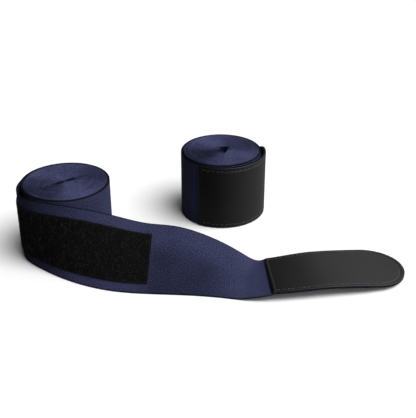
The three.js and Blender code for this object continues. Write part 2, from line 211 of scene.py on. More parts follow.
def skin(sections, count, joined=False):
    """Faces over sections of count points each: capped at the ends, or joined into a ring."""
    faces = []
    for i in range(sections if joined else sections - 1):
        a, b = i * count, (i + 1) % sections * count
        faces += [(a + j, b + j, b + (j + 1) % count, a + (j + 1) % count) for j in range(count)]
    if not joined:
        faces.append(tuple(range(count)))
        faces.append(tuple(range((sections - 1) * count, sections * count))[::-1])
    return faces


def make_piece(name, points, faces, uv, material, tone=None):
    """A mesh object at the origin, with its lay on the flat band as a UV map in metres."""
    mesh = bpy.data.meshes.new(name)
    mesh.from_pydata(np.asarray(points).tolist(), [], faces)
    corners = np.empty(len(mesh.loops), np.int32)
    mesh.loops.foreach_get("vertex_index", corners)
    layer = mesh.uv_layers.new(name="lay")
    layer.uv.foreach_set("vector", np.asarray(uv, np.float32)[corners].ravel())
    if tone is not None:
        mesh.attributes.new("tone", "FLOAT", "POINT").data.foreach_set("value", tone.astype(np.float32))
    tidy = bmesh.new()
    tidy.from_mesh(mesh)
    bmesh.ops.remove_doubles(tidy, verts=tidy.verts, dist=1e-6)
    bmesh.ops.holes_fill(tidy, edges=tidy.edges, sides=0)
    bmesh.ops.recalc_face_normals(tidy, faces=tidy.faces)
    tidy.to_mesh(mesh)
    tidy.free()
    mesh.shade_smooth()
    mesh.set_sharp_from_angle(angle=math.radians(50))
    mesh.materials.append(material)
    piece = bpy.data.objects.new(name, mesh)
    bpy.context.scene.collection.objects.link(piece)
    return piece


def linear(code):
    """An sRGB hex colour as the linear values that a node socket takes."""
    srgb = [int(code[i:i + 2], 16) / 255 for i in (1, 3, 5)]
    return [c / 12.92 if c <= 0.04045 else ((c + 0.055) / 1.055) ** 2.4 for c in srgb] + [1]


def add_node(tree, kind, inputs=(), **settings):
    """Adds a node. settings are its properties; inputs are its sockets' values or where they come from."""
    node = tree.nodes.new(kind)
    for key, value in settings.items():
        setattr(node, key, value)
    for socket, value in dict(inputs).items():
        if isinstance(value, bpy.types.NodeSocket):
            tree.links.new(value, node.inputs[socket])
        else:
            node.inputs[socket].default_value = value
    return node


def new_material(name):
    """An empty node material and its tree."""
    material = bpy.data.materials.new(name)
    material.use_nodes = True
    material.node_tree.nodes.clear()
    return material, material.node_tree


def bands_per_metre(pitch):
    """The Wave Texture's scale at which its bands lie pitch apart."""
    return math.pi / (10 * pitch)


# Woven elastic: matt cotton yarn over elastane, dyed navy. The real twill is about 0.5 mm; it is
# drawn at 1.5 mm so that it shows. The edges of the wound turns catch the light along one line
# across the roll, a painted highlight, and are painted lighter and darker in sectors, as light and
# shade; "tone" carries these, and the painted shade on the band's edges, in the hole and by the roll.
TWILL_PITCH = 0.0015
RIB_PITCH = 0.0011
SLUB_SIZE = 0.0007
WORN_SIZE = 0.018  # of the patches where the cloth is a little paler
YARN_DARK = "#191c33"
YARN_LIGHT = "#44476a"
# painted shade: the colour of the band's darkened edges
EDGE_SHADE_COLOUR = "#08080e"
EDGE_SHADE_TONE = -3.0  # the tone that stands for the border painted dark as shade


def woven_elastic(name, dark, light):
    """Twill crossed with ribs, slubs in the yarn, and painted shade, darkest along the edges."""
    material, tree = new_material(name)
    lay = add_node(tree, "ShaderNodeUVMap", uv_map="lay").outputs["UV"]
    slanted = add_node(tree, "ShaderNodeMapping", {"Vector": lay, "Rotation": (0, 0, math.radians(-27))})
    twill = add_node(tree, "ShaderNodeTexWave", {
        "Vector": slanted.outputs[0], "Scale": bands_per_metre(TWILL_PITCH),
        "Distortion": 0.6, "Detail": 1, "Detail Scale": 2})
    rib = add_node(tree, "ShaderNodeTexWave", {
        "Vector": lay, "Scale": bands_per_metre(RIB_PITCH), "Distortion": 0.3}, bands_direction="Y")
    yarn = add_node(tree, "ShaderNodeTexNoise", {"Vector": lay, "Scale": 1 / SLUB_SIZE, "Detail": 3})
    patches = add_node(tree, "ShaderNodeTexNoise", {"Vector": lay, "Scale": 1 / WORN_SIZE, "Detail": 3})
    tone = add_node(tree, "ShaderNodeAttribute", attribute_name="tone")
    crossed = add_node(tree, "ShaderNodeMath", {0: twill.outputs["Fac"], 1: rib.outputs["Fac"]},
                       operation="MULTIPLY")
    slubs = add_node(tree, "ShaderNodeMath", {0: yarn.outputs["Fac"], 1: 3.0}, operation="MULTIPLY")
    weave = add_node(tree, "ShaderNodeMath", {0: crossed.outputs[0], 1: 0.5, 2: slubs.outputs[0]},
                     operation="MULTIPLY_ADD")
    worn = add_node(tree, "ShaderNodeMath", {0: patches.outputs["Fac"], 1: 0.5, 2: weave.outputs[0]},
                    operation="MULTIPLY_ADD")
    toned = add_node(tree, "ShaderNodeMath", {0: tone.outputs["Fac"], 1: 0.42, 2: worn.outputs[0]},
                     operation="MULTIPLY_ADD")
    spread = add_node(tree, "ShaderNodeMapRange", {
        "Value": toned.outputs[0], "From Min": 1.38, "From Max": 2.43})
    woven = add_node(tree, "ShaderNodeMix", {
        0: spread.outputs[0], 6: linear(dark), 7: linear(light)}, data_type="RGBA")
    # Painted shade: the most negative tones, on the band's edges, in the hole and by the roll, turn the
    # colour near black.
    edge_shade = add_node(tree, "ShaderNodeMapRange", {
        "Value": tone.outputs["Fac"], "From Min": EDGE_SHADE_TONE / 3, "From Max": EDGE_SHADE_TONE})
    colour = add_node(tree, "ShaderNodeMix", {
        0: edge_shade.outputs[0], 6: woven.outputs[2], 7: linear(EDGE_SHADE_COLOUR)}, data_type="RGBA")
    bump = add_node(tree, "ShaderNodeBump", {
        "Height": weave.outputs[0], "Strength": 0.4, "Distance": 0.00016})
    shader = add_node(tree, "ShaderNodeBsdfPrincipled", {
        "Base Color": colour.outputs[2], "Roughness": 0.9, "Normal": bump.outputs[0],
        "IOR": 1.5, "Specular IOR Level": 0.15, "Sheen Weight": 0.08, "Sheen Roughness": 0.5,
        "Sheen Tint": linear(light)})
    add_node(tree, "ShaderNodeOutputMaterial", {"Surface": shader.outputs[0]})
    return material


navy_elastic = woven_elastic("woven_elastic_navy", YARN_DARK, YARN_LIGHT)


BOW_TIE = math.radians(118)  # the edges of the turns catch the light along this line
BOW_TIE_TONE = 0.42
SHADED_SIDE = math.radians(216)  # and are painted darkest here, as shade
SHADED_SIDE_TONE = -0.8
RAGGED = 0.00004  # how far the edges stand up and down
RAGGED_TONE = 3000  # painted light: a turn is painted this much lighter for each metre it stands up
RAGGED_END = (-1.6, -0.4)  # in turns before the band's end, as the next two
RIM_START = (-2.1, -2.0)  # only the outermost turns have their edges painted dark as shade
LAST_TURN = (-1.05, -0.95)
LOWER_SHARE = 0.35  # how ragged the lower edge is beside the upper
HOLE_FADE = 50  # the painted shade on the hole's wall fades within the first turns
LEAN_START = LOOP_WIDTH / 2 + 0.001  # from mid-height; past the thumb loop the turns lean in
OPEN_PINCH, CLOSED_PINCH = 0.00155, 0.0003
OPEN_SLACK, CLOSED_SLACK = 0.0003, 0.0002


def wound_band(name, centre, hole_middle, pinch, winding, body, nodes, seed):
    """The wound turns as one spiral band. Inside, it is centred on the hole, and its edges lean
    inwards by pinch; outside, it is round. Its upper edge is a little ragged from turn to turn."""
    angle, radius, back, length, share = winding
    rng = np.random.default_rng(seed)
    each_turn = np.arange(-math.ceil(-back[0]), 1)
    ragged = np.interp(back, each_turn, rng.normal(0, RAGGED, len(each_turn)))
    wave = sum(
        RAGGED * size * np.sin(k * angle + rng.uniform(0, 6.3) + rate * back)
        for k, size, rate in ((1, 1.4, 0.35), (2, 1.0, -0.5), (3, 0.8, 0.8)))
    last = smoothstep(back, *LAST_TURN)
    rim = smoothstep(back, *RIM_START)
    lift = (ragged + wave) * (1 - smoothstep(back, *RAGGED_END))
    thick = WOUND_THICKNESS + (BAND_THICKNESS - WOUND_THICKNESS) * last
    # painted light and shade: lighter and darker sectors that drift from turn to turn
    patchy = sum(
        size * np.sin(k * angle + rng.uniform(0, 6.3) + rate * back)
        for k, size, rate in ((3, 0.22, 0.03), (5, 0.18, -0.05), (9, 0.12, 0.1)))
    bow_tie = BOW_TIE_TONE * np.cos(2 * (angle - BOW_TIE))
    # painted shade on one side of the roll's top
    shaded_side = SHADED_SIDE_TONE * np.maximum(np.cos(angle - SHADED_SIDE), 0) ** 4
    flat_tone = (bow_tie + shaded_side + patchy + RAGGED_TONE * ragged) * (1 - last)
    # painted shade inside the hole
    hole_shade = (1 - share) ** HOLE_FADE
    points, uv, tone = [], [], []
    for k in range(len(angle)):
        high = BAND_WIDTH + lift[k]
        low = max(LOWER_SHARE * lift[k], 0)
        section = band_section(low, high, radius[k] - thick[k], radius[k], WOUND_CELLS)
        w, reach = section.T
        lean = smoothstep(abs(w - BAND_WIDTH / 2), LEAN_START, BAND_WIDTH / 2)
        reach = reach - pinch * (1 - share[k]) ** 2 * lean
        middle = centre + hole_middle * (1 - share[k])
        points.append(np.stack([
            middle[0] + reach * math.cos(angle[k]), middle[1] + reach * math.sin(angle[k]), w], 1))
        uv.append(np.stack([np.full(len(w), length[k]), w], 1))
        # the edges of the outermost turns are painted dark as shade
        edge_shade = 1 - smoothstep(np.minimum(w, high - w), EDGE_SHADE_WIDTH / 2, EDGE_SHADE_WIDTH)
        tone.append(flat_tone[k] + EDGE_SHADE_TONE * (edge_shade * rim[k] + hole_shade[k]))
    count = len(points[0])
    piece = make_piece(name, np.concatenate(points), skin(len(points), count), np.concatenate(uv),
                       navy_elastic, tone=np.concatenate(tone))
    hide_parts(*nodes)
    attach(piece, body)


open_winding = wind(
    OPEN_FOLD, OPEN_EXIT_ANGLE, 1, lambda back: OPEN_RADIUS + TURN_PITCH * back,
    WRAP_LENGTH - RUN_LENGTH - TAB_LENGTH, OPEN_SLACK)
wound_band("open_wound_turns", open_centre, np.zeros(3), OPEN_PINCH, open_winding, "open_roll",
           ["open_wound_core"], WINDING_SEED)

closed_outer_turns = -closed_turn[0]
closed_winding = wind(
    CLOSED_HOLE, CLOSED_TAB_ANGLE, closed_outer_turns,
    lambda back: closed_radius(back, np.interp(back, closed_turn, closed_u)),
    WRAP_LENGTH - TAB_LENGTH, CLOSED_SLACK)
wound_band("closed_wound_turns", closed_centre, CLOSED_HOLE_MIDDLE, CLOSED_PINCH, closed_winding,
           "closed_roll", ["closed_wound_core", "closed_last_turn"], WINDING_SEED + 1)


# -------------------------------------------------------------------- the pulled-out stretch
# The open wrap's last 0.2 m stands on edge where it leaves the roll, bows out in front of it,
# leans back and twists down flat to the tab. Its route is given in headings and leans in degrees:
# past the roll at so many radii of it from the exit, and beyond it at shares of the stretch.
ROUTE_PAST_ROLL = [(0, -104, 90), (0.46, -78.5, 90), (1.06, -45, 88.5), (1.78, -36, 76)]
ROUTE_BEYOND = [(0.42, -22, 54), (0.57, -6, 39.5), (0.69, -3.5, 34), (0.80, -7.5, 18),
                (0.90, -11.5, 1), (1.00, 2.5, -4.5)]
HEM_LENGTH = 0.0036
TAB_HEADING = 8.2
TAB_LEANS = (-3.4, -0.6)  # where the twist has faded and at the tip: the near edge stands up
TAB_UNTWIST = 0.025
TAB_ARCH = 0.0029
TAB_ARCH_PEAK = 0.4  # as a share of the tab's length
SETTLE = 0.0015  # how softly the lower edge comes down on the ground as the band lies down
RUN_STEP = 0.002
RUN_CELLS = 16

run_at = [radii * OPEN_RADIUS - RUN_LENGTH for radii, _, _ in ROUTE_PAST_ROLL]
run_at += [(share - 1) * RUN_LENGTH for share, _, _ in ROUTE_BEYOND] + [TAB_UNTWIST, TAB_LENGTH]
headings = [heading for _, heading, _ in ROUTE_PAST_ROLL + ROUTE_BEYOND] + [TAB_HEADING] * 2
leans = [lean for _, _, lean in ROUTE_PAST_ROLL + ROUTE_BEYOND] + list(TAB_LEANS)


def through(at, value, x):
    """Smooth values at x through the stations, with slopes from the chords on each side."""
    at, value = np.array(at, float), np.array(value, float)
    chord = np.diff(value) / np.diff(at)
    slope = (np.append(chord[0], chord) + np.append(chord, chord[-1])) / 2
    x = np.clip(x, at[0], at[-1])
    i = np.clip(np.searchsorted(at, x, side="right") - 1, 0, len(at) - 2)
    run = at[i + 1] - at[i]
    t = (x - at[i]) / run
    start = (1 + 2 * t) * (1 - t) ** 2 * value[i] + t * (1 - t) ** 2 * run * slope[i]
    end = t ** 2 * (3 - 2 * t) * value[i + 1] + t ** 2 * (t - 1) * run * slope[i + 1]
    return start + end


open_u = -RUN_LENGTH + ROUTE_STEP * np.arange(math.ceil((RUN_LENGTH + TAB_LENGTH) / ROUTE_STEP) + 1)
open_heading = np.radians(through(run_at, headings, open_u[:-1] + ROUTE_STEP / 2))
open_x = open_centre[0] + OPEN_RADIUS * math.cos(OPEN_EXIT_ANGLE) + ROUTE_STEP * np.append(
    0, np.cumsum(np.cos(open_heading)))
open_y = open_centre[1] + OPEN_RADIUS * math.sin(OPEN_EXIT_ANGLE) + ROUTE_STEP * np.append(
    0, np.cumsum(np.sin(open_heading)))


def bend_open(flat):
    """Points (u, w, h) of the flat band, laid along the open wrap's route."""
    u, w, h = np.asarray(flat, float).T
    heading, lean = np.radians(through(run_at, headings, u)), np.radians(through(run_at, leans, u))
    along = np.stack([np.cos(heading), np.sin(heading), 0 * u], 1)
    across = np.stack([-np.sin(heading) * np.cos(lean), np.cos(heading) * np.cos(lean), np.sin(lean)], 1)
    outward = np.cross(along, across)
    drop = -BAND_WIDTH * np.sin(lean)
    hook_under = (HOOK_THICKNESS + GAP) * smoothstep(u, -2 * HEM_LENGTH, HEM_LENGTH)
    peak = TAB_ARCH_PEAK * TAB_LENGTH
    arch = np.where(u < peak, smoothstep(u, -HEM_LENGTH, peak), 1 - smoothstep(u, peak, TAB_LENGTH))
    z = hook_under + TAB_ARCH * arch + BAND_THICKNESS * np.cos(lean) + (drop + np.hypot(drop, SETTLE)) / 2
    foot = np.stack([np.interp(u, open_u, open_x), np.interp(u, open_u, open_y), z], 1)
    return foot + across * w[:, None] + outward * h[:, None]


def spaced(start, end, step):
    """Even values from start to end, no further apart than step."""
    return np.linspace(start, end, max(2, math.ceil((end - start) / step) + 1))


def band_stretch(name, along, bend, half_width, shade=lambda u, w: 0):
    """A flat stretch of band, bent to its place; half_width(u) may narrow it."""
    points, tone = [], []
    for u in along:
        half = half_width(u)
        section = band_section(
            BAND_WIDTH / 2 - half, BAND_WIDTH / 2 + half, -BAND_THICKNESS, 0, RUN_CELLS)
        points.append(np.insert(section, 0, u, axis=1))
        # the band's edges are painted dark as shade
        inset = half - abs(section[:, 0] - BAND_WIDTH / 2)
        edge_shade = 1 - smoothstep(inset, EDGE_SHADE_WIDTH / 2, EDGE_SHADE_WIDTH)
        tone.append(EDGE_SHADE_TONE * edge_shade + shade(u, section[:, 0]) * (1 - edge_shade))
    flat = np.concatenate(points)
    return make_piece(name, bend(flat), skin(len(along), len(points[0])), flat[:, :2], navy_elastic,
                      tone=np.concatenate(tone))


# Painted shade on the pulled-out stretch: darkest where it leaves the roll, darker over its lower half
# towards the tab, and a little darker all along.
AT_ROLL, ROLL_SHADE_TONE = (-0.205, -0.13), -1.7
LOW_SHADE_FROM, LOW_SHADE_TO, LOW_SHADE_TONE = (-0.1, -0.075), (-0.047, -0.018), -1.15
LOW_SHADE_UP, LEFT_ABOVE = (0.022, 0.042), 0.25  # up the band it fades to this share
RUN_SHADE_TONE = -0.1


def painted_run_shade(u, w):
    """Painted shade: the stretch is darker at the roll, which shades it, and over its lower half from the
    patch's end towards the tab, where it stands steeper.
    """
    near_roll = 1 - smoothstep(u, *AT_ROLL)
    along = smoothstep(u, *LOW_SHADE_FROM) * (1 - smoothstep(u, *LOW_SHADE_TO))
    up = 1 - (1 - LEFT_ABOVE) * smoothstep(w, *LOW_SHADE_UP)
    return RUN_SHADE_TONE + ROLL_SHADE_TONE * near_roll + LOW_SHADE_TONE * along * up


pulled_out = band_stretch(
    "open_pulled_out_band", spaced(-RUN_LENGTH, 0, RUN_STEP), bend_open, lambda u: BAND_WIDTH / 2, painted_run_shade)
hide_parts("open_run")
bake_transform(pulled_out)


# -------------------------------------------------------------------------- the loop patches
# A knitted nylon patch, 120 x 36 mm, brushed up into small black loops that the hooks grip. It is
# sewn to the band's outer face with an overcast seam along its edge.
PATCH_LENGTH = 0.120
PATCH_TO_TAB = 0.082
PATCH_LOW = 0.0064  # from the band's lower edge
PATCH_HIGH = BAND_WIDTH - 0.0078
PATCH_LIFT = 0.00002  # off the band's face
PATCH_BASE = 0.0004
PATCH_END = -PATCH_TO_TAB
PATCH_START = PATCH_END - PATCH_LENGTH
FLUFF_SIZE = 0.00045
MOTTLE_SIZE = 0.0016  # of the lighter and darker spots along a thread
TWIST_SIZE = 0.00017
LOOP_ROW_PITCH = 0.0011
LOOP_PITCH = 0.0009
LOOP_HEIGHT = 0.00055
LOOP_THREAD = 0.00011
PILE_SEED = 3
SEAM_BORDER = 0.0012  # bare knit between the loops and the patch's edge
SEAM_INSET = 0.0004


def black_knit(name):
    """Knitted nylon ground: dull black, with fine ribs across the patch."""
    material, tree = new_material(name)
    lay = add_node(tree, "ShaderNodeUVMap", uv_map="lay").outputs["UV"]
    ribs = add_node(tree, "ShaderNodeTexWave", {
        "Vector": lay, "Scale": bands_per_metre(LOOP_ROW_PITCH), "Distortion": 1.5, "Detail Scale": 3})
    fluff = add_node(tree, "ShaderNodeTexNoise", {"Vector": lay, "Scale": 1 / FLUFF_SIZE, "Detail": 4})
    height = add_node(tree, "ShaderNodeMath", {0: ribs.outputs["Fac"], 1: fluff.outputs["Fac"]},
                      operation="MULTIPLY")
    colour = add_node(tree, "ShaderNodeMix", {
        0: fluff.outputs["Fac"], 6: linear("#050505"), 7: linear("#121211")}, data_type="RGBA")
    bump = add_node(tree, "ShaderNodeBump", {
        "Height": height.outputs[0], "Strength": 0.8, "Distance": 0.0003})
    shader = add_node(tree, "ShaderNodeBsdfPrincipled", {
        "Base Color": colour.outputs[2], "Roughness": 0.95, "Normal": bump.outputs[0],
        "Specular IOR Level": 0.1})
    add_node(tree, "ShaderNodeOutputMaterial", {"Surface": shader.outputs[0]})
    return material


def nylon_thread(name, dark, light, roughness, shine, mixed=(0.38, 0.68), squash=1):
    """Fine nylon or polyester filament: the colour changes a little from thread to thread. Below 1,
    squash draws the patches of colour out along Z, as the ribs of a knitted ground do."""
    material, tree = new_material(name)
    place = add_node(tree, "ShaderNodeTexCoord").outputs["Object"]
    drawn = add_node(tree, "ShaderNodeMapping", {"Vector": place, "Scale": (1, 1, squash)})
    mix = add_node(tree, "ShaderNodeTexNoise", {
        "Vector": drawn.outputs[0], "Scale": 1 / MOTTLE_SIZE, "Detail": 3})
    spread = add_node(tree, "ShaderNodeMapRange", {
        "Value": mix.outputs["Fac"], "From Min": mixed[0], "From Max": mixed[1]})
    colour = add_node(tree, "ShaderNodeMix", {
        0: spread.outputs[0], 6: linear(dark), 7: linear(light)}, data_type="RGBA")
    twist = add_node(tree, "ShaderNodeTexNoise", {"Vector": place, "Scale": 1 / TWIST_SIZE})
    bump = add_node(tree, "ShaderNodeBump", {
        "Height": twist.outputs["Fac"], "Strength": 0.4, "Distance": 0.00005})
    shader = add_node(tree, "ShaderNodeBsdfPrincipled", {
        "Base Color": colour.outputs[2], "Roughness": roughness, "Normal": bump.outputs[0],
        "IOR": 1.53, "Specular IOR Level": shine})
    add_node(tree, "ShaderNodeOutputMaterial", {"Surface": shader.outputs[0]})
    return material


knit = black_knit("knitted_nylon_black")
pile_nylon = nylon_thread(
    "looped_nylon_black", "#000000", "#3c3c3a", 0.6, 0.15, mixed=(0.48, 0.72), squash=0.3)
seam_thread = nylon_thread("polyester_thread_black", "#080808", "#141414", 0.5, 0.2)


def new_tree(name, sizes):
    """A geometry tree with its named sizes, a seed and a material as inputs."""
    tree = bpy.data.node_groups.new(name, "GeometryNodeTree")
    sockets = [("Geometry", "NodeSocketGeometry")] + [(size, "NodeSocketFloat") for size in sizes]
    for label, kind in sockets + [("Seed", "NodeSocketInt"), ("Material", "NodeSocketMaterial")]:
        tree.interface.new_socket(label, in_out="INPUT", socket_type=kind)
    tree.interface.new_socket("Geometry", in_out="OUTPUT", socket_type="NodeSocketGeometry")
    return tree, add_node(tree, "NodeGroupInput").outputs


def end_tree(tree, instances, material):
    """Ends a tree with real meshes in the material."""
    real = add_node(tree, "GeometryNodeRealizeInstances", {0: instances})
    done = add_node(tree, "GeometryNodeSetMaterial", {"Geometry": real.outputs[0], "Material": material})
    add_node(tree, "NodeGroupOutput", {0: done.outputs[0]})


def arch_tree():
    """A small bent thread at each point: a full arch is a loop of pile, a part of one a hook."""
    tree, given = new_tree("bent_thread_on_points", ["Radius", "Sweep", "Thread", "Turn", "Jitter"])
    arch = add_node(tree, "GeometryNodeCurveArc", {
        "Resolution": 6, "Radius": given["Radius"], "Sweep Angle": given["Sweep"]}, mode="RADIUS")
    upright = add_node(tree, "GeometryNodeTransform", {
        "Geometry": arch.outputs[0], "Rotation": (math.pi / 2, 0, 0)})
    thread = add_node(tree, "GeometryNodeCurvePrimitiveCircle", {
        "Resolution": 3, "Radius": given["Thread"]}, mode="RADIUS")
    bent = add_node(tree, "GeometryNodeCurveToMesh", {
        "Curve": upright.outputs[0], "Profile Curve": thread.outputs[0], "Fill Caps": True})
    back = add_node(tree, "ShaderNodeMath", {0: given["Jitter"], 1: -1.0}, operation="MULTIPLY")
    reach = [add_node(tree, "ShaderNodeCombineXYZ", {0: side, 1: side}).outputs[0]
             for side in (back.outputs[0], given["Jitter"])]
    shift = add_node(tree, "FunctionNodeRandomValue", {
        0: reach[0], 1: reach[1], "Seed": given["Seed"]}, data_type="FLOAT_VECTOR")
    points = add_node(tree, "GeometryNodeSetPosition", {
        "Geometry": given["Geometry"], "Offset": shift.outputs[0]})
    less = add_node(tree, "ShaderNodeMath", {0: given["Turn"], 1: -1.0}, operation="MULTIPLY")
    turns = [add_node(tree, "ShaderNodeCombineXYZ", {2: side}).outputs[0]
             for side in (less.outputs[0], given["Turn"])]
    turn = add_node(tree, "FunctionNodeRandomValue", {
        0: turns[0], 1: turns[1], "Seed": given["Seed"]}, data_type="FLOAT_VECTOR")
    size = add_node(tree, "FunctionNodeRandomValue", {
        2: 0.75, 3: 1.2, "Seed": given["Seed"]}, data_type="FLOAT")
    spread = add_node(tree, "GeometryNodeInstanceOnPoints", {
        "Points": points.outputs[0], "Instance": bent.outputs[0],
        "Rotation": turn.outputs[0], "Scale": size.outputs[1]})
    end_tree(tree, spread.outputs[0], given["Material"])
    return tree


def stitch_tree():
    """Short stitches at an even pitch along a path, each an arch that dips in at both ends."""
    tree, given = new_tree("stitches_on_a_path", ["Pitch", "Length", "Height", "Thread", "Slant"])
    path = add_node(tree, "GeometryNodeMeshToCurve", {"Mesh": given["Geometry"]})
    places = add_node(tree, "GeometryNodeResampleCurve", {
        "Curve": path.outputs[0], "Length": given["Pitch"]}, mode="LENGTH")
    half = add_node(tree, "ShaderNodeMath", {0: given["Length"], 1: 0.5}, operation="MULTIPLY")
    other = add_node(tree, "ShaderNodeMath", {0: given["Length"], 1: -0.5}, operation="MULTIPLY")
    ends = [add_node(tree, "ShaderNodeCombineXYZ", {0: side.outputs[0]}).outputs[0]
            for side in (other, half)]
    crown = add_node(tree, "ShaderNodeCombineXYZ", {2: given["Height"]})
    arch = add_node(tree, "GeometryNodeCurveQuadraticBezier", {
        "Resolution": 5, "Start": ends[0], "Middle": crown.outputs[0], "End": ends[1]})
    thread = add_node(tree, "GeometryNodeCurvePrimitiveCircle", {
        "Resolution": 6, "Radius": given["Thread"]}, mode="RADIUS")
    stitch = add_node(tree, "GeometryNodeCurveToMesh", {
        "Curve": arch.outputs[0], "Profile Curve": thread.outputs[0], "Fill Caps": True})
    tangent = add_node(tree, "GeometryNodeInputTangent")
    split = add_node(tree, "ShaderNodeSeparateXYZ", {0: tangent.outputs[0]})
    heading = add_node(tree, "ShaderNodeMath", {0: split.outputs[1], 1: split.outputs[0]},
                       operation="ARCTAN2")
    wobble = add_node(tree, "FunctionNodeRandomValue", {
        2: -0.06, 3: 0.06, "Seed": given["Seed"]}, data_type="FLOAT")
    slanted = add_node(tree, "ShaderNodeMath", {0: heading.outputs[0], 1: given["Slant"]}, operation="ADD")
    turned = add_node(tree, "ShaderNodeMath", {0: slanted.outputs[0], 1: wobble.outputs[1]}, operation="ADD")
    rotation = add_node(tree, "ShaderNodeCombineXYZ", {2: turned.outputs[0]})
    row = add_node(tree, "GeometryNodeInstanceOnPoints", {
        "Points": places.outputs[0], "Instance": stitch.outputs[0], "Rotation": rotation.outputs[0]})
    end_tree(tree, row.outputs[0], given["Material"])
    return tree


bent_thread = arch_tree()
stitches = stitch_tree()


def grow(name, tree, points, edges, sizes, material, bend, seed=0):
    """Runs a geometry tree on flat points or a flat path, and bends what it makes to its place."""
    base = bpy.data.meshes.new(name)
    base.from_pydata(np.asarray(points).tolist(), edges, [])
    piece = bpy.data.objects.new(name, base)
    bpy.context.scene.collection.objects.link(piece)
    modifier = piece.modifiers.new("grow", "NODES")
    modifier.node_group = tree
    values = {**sizes, "Seed": seed, "Material": material}
    for item in tree.interface.items_tree:
        if item.in_out == "INPUT" and item.name in values:
            modifier[item.identifier] = values[item.name]
    evaluated = piece.evaluated_get(bpy.context.evaluated_depsgraph_get())
    made = bpy.data.meshes.new_from_object(evaluated)
    piece.modifiers.remove(modifier)
    piece.data = made
    bpy.data.meshes.remove(base)
    flat = np.empty(len(made.vertices) * 3, np.float32)
    made.vertices.foreach_get("co", flat)
    made.vertices.foreach_set("co", bend(flat.reshape(-1, 3)).astype(np.float32).ravel())
    made.shade_smooth()
    made.update()
    return piece


def closed_path(corners, level):
    """The points and edges of a closed path on the flat band."""
    points = [(u, w, level) for u, w in corners]
    return points, [(k, (k + 1) % len(points)) for k in range(len(points))]


def loop_patch(prefix, bend, move):
    """The knitted ground, its loops and the seam round it."""
    along = spaced(PATCH_START, PATCH_END, RUN_STEP)
    section = band_section(PATCH_LOW, PATCH_HIGH, PATCH_LIFT, PATCH_BASE, RUN_CELLS)
    flat = np.concatenate([np.insert(section, 0, u, axis=1) for u in along])
    ground = make_piece(f"{prefix}_patch_ground", bend(flat), skin(len(along), len(section)),
                        flat[:, :2], knit)
    rows = spaced(PATCH_START + SEAM_BORDER, PATCH_END - SEAM_BORDER, LOOP_ROW_PITCH)
    columns = spaced(PATCH_LOW + SEAM_BORDER, PATCH_HIGH - SEAM_BORDER, LOOP_PITCH)
    seats = [(u, w, PATCH_BASE - LOOP_THREAD) for u in rows for w in columns]
    pile = grow(f"{prefix}_patch_pile", bent_thread, seats, [], {
        "Radius": LOOP_HEIGHT, "Sweep": math.pi, "Thread": LOOP_THREAD, "Turn": 1.2, "Jitter": 0.0003,
    }, pile_nylon, bend, PILE_SEED)
    start, end = PATCH_START + SEAM_INSET, PATCH_END - SEAM_INSET
    low, high = PATCH_LOW + SEAM_INSET, PATCH_HIGH - SEAM_INSET
    path = closed_path([(start, low), (end, low), (end, high), (start, high)], PATCH_BASE)
    seam = grow(f"{prefix}_patch_seam", stitches, *path, {
        "Pitch": 0.0016, "Length": 0.0021, "Height": 0.0003, "Thread": 0.00016,
        "Slant": math.radians(62)}, seam_thread, bend)
    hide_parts(f"{prefix}_loop_patch")
    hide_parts(f"{prefix}_patch_stitching")
    for piece in (ground, pile, seam):
        move(piece)


loop_patch("open", bend_open, lambda piece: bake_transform(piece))
loop_patch("closed", bend_closed, lambda piece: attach(piece, "closed_roll"))


# ------------------------------------------------------------------------------------ the tabs
# The band's end lies between a synthetic leather face with a round tip and a strip of hooks. The
# leather's end is folded into a hem over the joint, and grey thread is sewn round through it all.
TAB_WIDTH = 0.0488
LEATHER_THICKNESS = 0.0009
HEM_THICKNESS = 0.0013
TAB_SEAM_INSET = 0.0026
GRAIN_SIZE = 0.0008
PORE_SIZE = 0.0011
RUBBED_SIZE = 0.022
LEATHER_START = HEM_LENGTH + GAP
TIP_RADIUS = 0.022
TAIL_INSET = 0.0014  # at the tip
TAIL_TUCK = (0.065, 0.081)  # where the band draws in under the leather
TAIL_TIP_HALF = 0.0015
TAIL_END = TAB_LENGTH - TAIL_INSET - 0.0002
LAYER_GAP = 0.00005
LEATHER_UNDER_HEM = 0.001
LEATHER_CORNER = 0.0003
LEATHER_STEP = 0.0015
GROOVE_DEPTH, GROOVE_WIDTH = 0.0003, 0.0006  # pressed in along the seam
HEM_CORNER = 0.002
HEM_OVERHANG = 0.0002
SEAM_TO_HEM = 0.0009
BACKING_INSET = 0.0006
BACKING_CORNER = 0.00015
HOOK_BASE = 0.0004
HOOK_MARGIN = 0.002
HOOK_PITCH = (0.0015, 0.0013)
HOOK_HEIGHT = 0.0005
HOOK_THREAD = 0.00013
HOOK_SEED = 11
STITCH_PITCH = 0.0033
INSET_ROWS = 0.001 * np.array([  # from the outline inwards, closer where the seam runs
    0.35, 0.7, 1.1, 1.6, 2, 2.3, 2.6, 2.9, 3.2, 3.6, 4.4, 5.6, 7.5, 10, 13, 16.5, 20])


def tab_columns(start, half, step):
    """The tab's outline from its base, round the tip and back, with the middle line beside it."""
    round_start = TAB_LENGTH - half
    straight = spaced(start, round_start, step)
    turn = np.linspace(-math.pi / 2, math.pi / 2, 49)[1:-1]
    edge = [(u, -half) for u in straight]
    edge += [(round_start + half * math.cos(a), half * math.sin(a)) for a in turn]
    edge += [(u, half) for u in straight[::-1]]
    edge = np.array(edge)
    spine = np.stack([np.minimum(edge[:, 0], round_start), np.zeros(len(edge))], 1)
    return edge, spine


